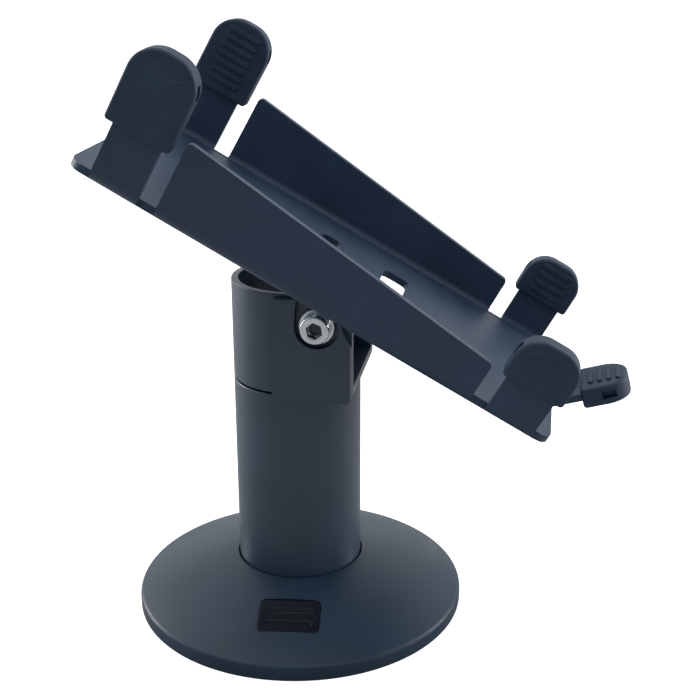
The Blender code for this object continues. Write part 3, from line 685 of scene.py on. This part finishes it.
def tab_strip():
    """Side view of the end tab, bent up from the floor."""
    along = Vector((cos(TAB_TURN), sin(TAB_TURN)))
    off = Vector((-sin(TAB_TURN), cos(TAB_TURN)))
    tip = Vector((TAB_BEND, FLOOR_LOW)) + along * TAB_LENGTH
    inner = (TAB_BEND - SHEET * tan(TAB_TURN / 2), FLOOR_TOP, BEND - SHEET)
    corners = [(75, FLOOR_LOW), (TAB_BEND, FLOOR_LOW, BEND), tuple(tip), tuple(tip + off * SHEET), inner]
    return prism("end_tab", rounded(corners + [(75, FLOOR_TOP)], 5.0), -TAB_HALF, TAB_HALF, "y")


def make_cradle():
    """The folded cradle plate: walls, fingers, end tab, slots and countersunk holes."""
    plate = prism("cradle_sheet", plate_section(), *FLOOR_ENDS, "x")
    for side in (-1, 1):
        combine(plate, prism("flap_waste", flap_waste(), *sorted((side * 70, side * FLAP_LINE)), "y"))
        for end in FLOOR_ENDS:
            waste = corner_waste((end, side * FLAP_LINE), (-1 if end > 0 else 1, -side), FLOOR_CORNER)
            combine(plate, prism("corner_waste", waste, 0, 30))
    for rear, front in SLOTS:
        corners = [(rear, -1), (front, -1), (front, 1), (rear, 1)]
        slot = rounded([(u, side * SLOT_HALF, SLOT_CORNER) for u, side in corners])
        combine(plate, prism("floor_slot", slot, 0, 30))
    narrow, wide = SINK_RADII
    over = FLOOR_TOP + 2.0
    hole = [(0, 5), (narrow, 5), (narrow, FLOOR_TOP - SINK_DEPTH), (wide, over), (0, over)]
    for place in BRACKET_SCREWS:
        combine(plate, turned("floor_hole", hole, 32, place))
    combine(plate, box("tab_relief", (77.6, 95), (-TAB_HALF - TAB_GAP, TAB_HALF + TAB_GAP), (5, 25)))
    combine(plate, tab_strip(), "UNION")
    for side in (-1, 1):
        waste = corner_waste((side * TAB_HALF, TAB_LENGTH), (-side, -1), TAB_CORNER)
        tool = prism("tab_corner", waste, -9, 9, "y")
        tool.data.transform(tab_frame(0.0))
        combine(plate, tool)
    soften(plate, 0.35)
    present(plate, "cradle_plate", "cradle", POWDER, CRADLE)


# ------------------------------------------------------------------ rubber caps
def frame_matrix(across, inwards, up, place):
    """Matrix with the given axes at a point in millimetres."""
    matrix = Matrix((across, inwards, up)).transposed().to_4x4()
    matrix.translation = place * MM
    return matrix


def finger_frame(finger, side, start):
    """Frame of a cap on a side finger."""
    up = Vector((0, side * sin(LEAN), cos(LEAN)))
    inwards = Vector((0, -side * cos(LEAN), sin(LEAN)))
    middle = sum(finger["ends"]) / 2
    place = Vector((middle, side * HALF_WIDTH, FLOOR_LOW)) + up * start + inwards * SHEET / 2
    return frame_matrix(inwards.cross(up), inwards, up, place)


def tab_frame(start):
    """Frame of the cap on the end tab."""
    up = Vector((cos(TAB_TURN), 0, sin(TAB_TURN)))
    inwards = Vector((-sin(TAB_TURN), 0, cos(TAB_TURN)))
    place = Vector((TAB_BEND, 0, FLOOR_LOW)) + up * start + inwards * SHEET / 2
    return frame_matrix(inwards.cross(up), inwards, up, place)


def make_ribs(kind):
    """Raised gripping bars with rounded ends and edges, as one tool."""
    ribs = None
    half, end = RIB_WIDTH / 2, (RIB_LENGTH - RIB_WIDTH) / 2
    face = CAP_THICKNESS / 2
    for index in range(kind["ribs"]):
        level = kind["height"] / 2 + RIB_SHIFT + (index - (kind["ribs"] - 1) / 2) * RIB_PITCH
        outline = arc((end, level), half, -90, 90, 8) + arc((-end, level), half, 90, 270, 8)
        rib = prism("rib", outline, face - 0.8, face + RIB_RISE, "y")
        soften(rib, RIB_EDGE)
        settle(rib)
        if ribs is None:
            ribs = rib
            continue
        merged = bmesh.new()
        merged.from_mesh(ribs.data)
        merged.from_mesh(rib.data)
        merged.to_mesh(ribs.data)
        merged.free()
        bpy.data.objects.remove(rib)
    return ribs


def make_cap(name, node, kind, half_finger, top, lug, place):
    """A rubber cap: x across the finger, y towards the gripping face, z up from its open end."""
    half, height, corner = kind["width"] / 2, kind["height"], kind["corner"]
    mouth = [(-half, 0, CAP_MOUTH), (half, 0, CAP_MOUTH)]
    outline = rounded(mouth + [(half, height, corner), (-half, height, corner)], 6.0)
    cap = prism(name, outline, -CAP_THICKNESS / 2, CAP_THICKNESS / 2, "y")
    soften(cap, CAP_EDGE, 4)
    settle(cap)
    wide, room = half_finger + FIT_GAP, SHEET / 2 + FIT_GAP
    pocket = rounded([(-wide, -5), (wide, -5), (wide, top, 2.6), (-wide, top, 2.6)])
    combine(cap, prism("pocket", pocket, -room, room, "y"))
    for side in (-1, 1):
        across = sorted((side * (wide - 1), side * 20))
        combine(cap, box("window", across, (0.15 - room, room - 0.15), (lug - 0.9, lug + 3.9)))
    combine(cap, make_ribs(kind), "UNION")
    present(cap, node, "cradle", RUBBER, CRADLE @ place)


def make_caps():
    """Long caps on the high fingers, short caps on the low fingers and on the end tab."""
    for kind, finger, length in ((LONG_CAP, REAR_FINGER, "long"), (SHORT_CAP, FRONT_FINGER, "short")):
        top = (finger["top"] - FLOOR_LOW) / cos(LEAN) - kind["start"] + FIT_GAP
        lug = (finger["lug"] - FLOOR_LOW) / cos(LEAN) - kind["start"]
        half = (finger["ends"][1] - finger["ends"][0]) / 2
        for side_name, side in SIDES:
            place = finger_frame(finger, side, kind["start"])
            make_cap(f"{length}_grip_{side_name}", f"{length}_cap_{side_name}", kind, half, top, lug, place)
    top = TAB_LENGTH - END_CAP["start"] + FIT_GAP
    make_cap("end_grip", "end_cap", END_CAP, TAB_HALF, top, END_LUG, tab_frame(END_CAP["start"]))


# ------------------------------------------------------------------ pieces kept from the CAD
def dress_cad_nodes():
    """Give each CAD node that still shows its material, with smooth faces and crisp corners."""
    looks = {"black_rubber": RUBBER, "satin_coated_metal": SATIN, "stainless_steel": STAINLESS,
             "zinc_plated_steel": ZINC, "black_oxide_steel": OXIDE, "nylon": NYLON,
             "glossy_inlay": GLOSS, "powder_coated_sheet": POWDER}
    for entry in frame["record"]["subparts"]:
        node = frame["nodes"][entry["node"]]
        node.data.materials.clear()
        node.data.materials.append(looks[entry["material_slot"]]["material"])
        node.data.shade_smooth()
        node.data.set_sharp_from_angle(angle=radians(30))


# ------------------------------------------------------------------ studio
def make_floor():
    """Plain pale floor that shows almost no shadow."""
    corners = [(x * FLOOR_HALF, y * FLOOR_HALF, 0) for x, y in ((-1, -1), (1, -1), (1, 1), (-1, 1))]
    floor = mesh_object("floor", corners, [(0, 1, 2, 3)])
    look = bpy.data.materials.new("pale_floor")
    look.use_nodes = True
    shader = look.node_tree.nodes["Principled BSDF"]
    shader.inputs["Base Color"].default_value = (FLOOR_TONE, FLOOR_TONE, FLOOR_TONE, 1.0)
    shader.inputs["Roughness"].default_value = 0.9
    shader.inputs["Specular IOR Level"].default_value = 0.0
    shader.inputs["Emission Color"].default_value = (1.0, 1.0, 1.0, 1.0)
    ray = look.node_tree.nodes.new("ShaderNodeLightPath")
    look.node_tree.links.new(ray.outputs["Is Camera Ray"], shader.inputs["Emission Strength"])
    floor.data.materials.append(look)


def make_world():
    """White surroundings: bright above, beside and behind the stand, dim and bluish on the viewer's side."""
    world = bpy.data.worlds.new("studio")
    bpy.context.scene.world = world
    world.use_nodes = True
    nodes, links = world.node_tree.nodes, world.node_tree.links
    nodes.clear()
    place = nodes.new("ShaderNodeTexCoord")
    away = nodes.new("ShaderNodeVectorMath")
    away.operation = "DOT_PRODUCT"
    away.inputs[1].default_value = (0.0, 1.0, 0.7)
    links.new(place.outputs["Generated"], away.inputs[0])
    reach = nodes.new("ShaderNodeMapRange")
    limits = (("From Min", -0.9), ("From Max", 0.5), ("To Min", FRONT_LIGHT), ("To Max", BACK_LIGHT))
    for name, number in limits:
        reach.inputs[name].default_value = number
    links.new(away.outputs["Value"], reach.inputs["Value"])
    share = nodes.new("ShaderNodeMapRange")
    for name, number in (("From Min", -0.9), ("From Max", 0.3)):
        share.inputs[name].default_value = number
    links.new(away.outputs["Value"], share.inputs["Value"])
    tint = nodes.new("ShaderNodeMix")
    tint.data_type = "RGBA"
    links.new(share.outputs["Result"], tint.inputs["Factor"])
    tint.inputs[6].default_value = FRONT_TINT
    tint.inputs[7].default_value = BACK_TINT
    lit = nodes.new("ShaderNodeBackground")
    links.new(tint.outputs[2], lit.inputs["Color"])
    links.new(reach.outputs["Result"], lit.inputs["Strength"])
    seen = nodes.new("ShaderNodeBackground")
    seen.inputs["Color"].default_value = (1.0, 1.0, 1.0, 1.0)
    ray = nodes.new("ShaderNodeLightPath")
    mix = nodes.new("ShaderNodeMixShader")
    links.new(ray.outputs["Is Camera Ray"], mix.inputs["Fac"])
    links.new(lit.outputs[0], mix.inputs[1])
    links.new(seen.outputs[0], mix.inputs[2])
    output = nodes.new("ShaderNodeOutputWorld")
    links.new(mix.outputs[0], output.inputs["Surface"])


def area_light(name, place, target, size, power):
    """A soft box that looks at a target."""
    data = bpy.data.lights.new(name, "AREA")
    data.shape = "RECTANGLE"
    data.size, data.size_y = size
    data.energy = power
    light = bpy.data.objects.new(name, data)
    light.location = place
    light.rotation_euler = (Vector(target) - Vector(place)).to_track_quat("-Z", "Y").to_euler()
    bpy.context.scene.collection.objects.link(light)


def make_lights():
    """Overhead soft box and one soft box on each side."""
    for name, place, size, power in LIGHTS:
        area_light(name, place, LIGHT_AIM, size, power)


def make_camera():
    """Camera at the photograph's viewing angle."""
    turn, rise, roll = radians(AZIMUTH), radians(ELEVATION), radians(ROLL)
    back = Vector((sin(turn) * cos(rise), -cos(turn) * cos(rise), sin(rise)))
    right = (-back).cross(Vector((0, 0, 1))).normalized()
    up = right.cross(-back)
    right, up = right * cos(roll) + up * sin(roll), up * cos(roll) - right * sin(roll)
    matrix = Matrix((right, up, back)).transposed().to_4x4()
    matrix.translation = TARGET + back * DISTANCE
    data = bpy.data.cameras.new("camera")
    data.sensor_width = 36.0
    data.lens = LENS
    data.clip_start = 0.01
    camera = bpy.data.objects.new("camera", data)
    camera.matrix_world = matrix
    bpy.context.scene.collection.objects.link(camera)
    bpy.context.scene.camera = camera


make_camera()
make_world()
make_lights()
make_floor()
dress_cad_nodes()
make_base()
make_badge()
make_pole()
make_head()
make_pivot_screws()
make_cradle()
make_caps()

bpy.context.scene.view_settings.view_transform = "Standard"
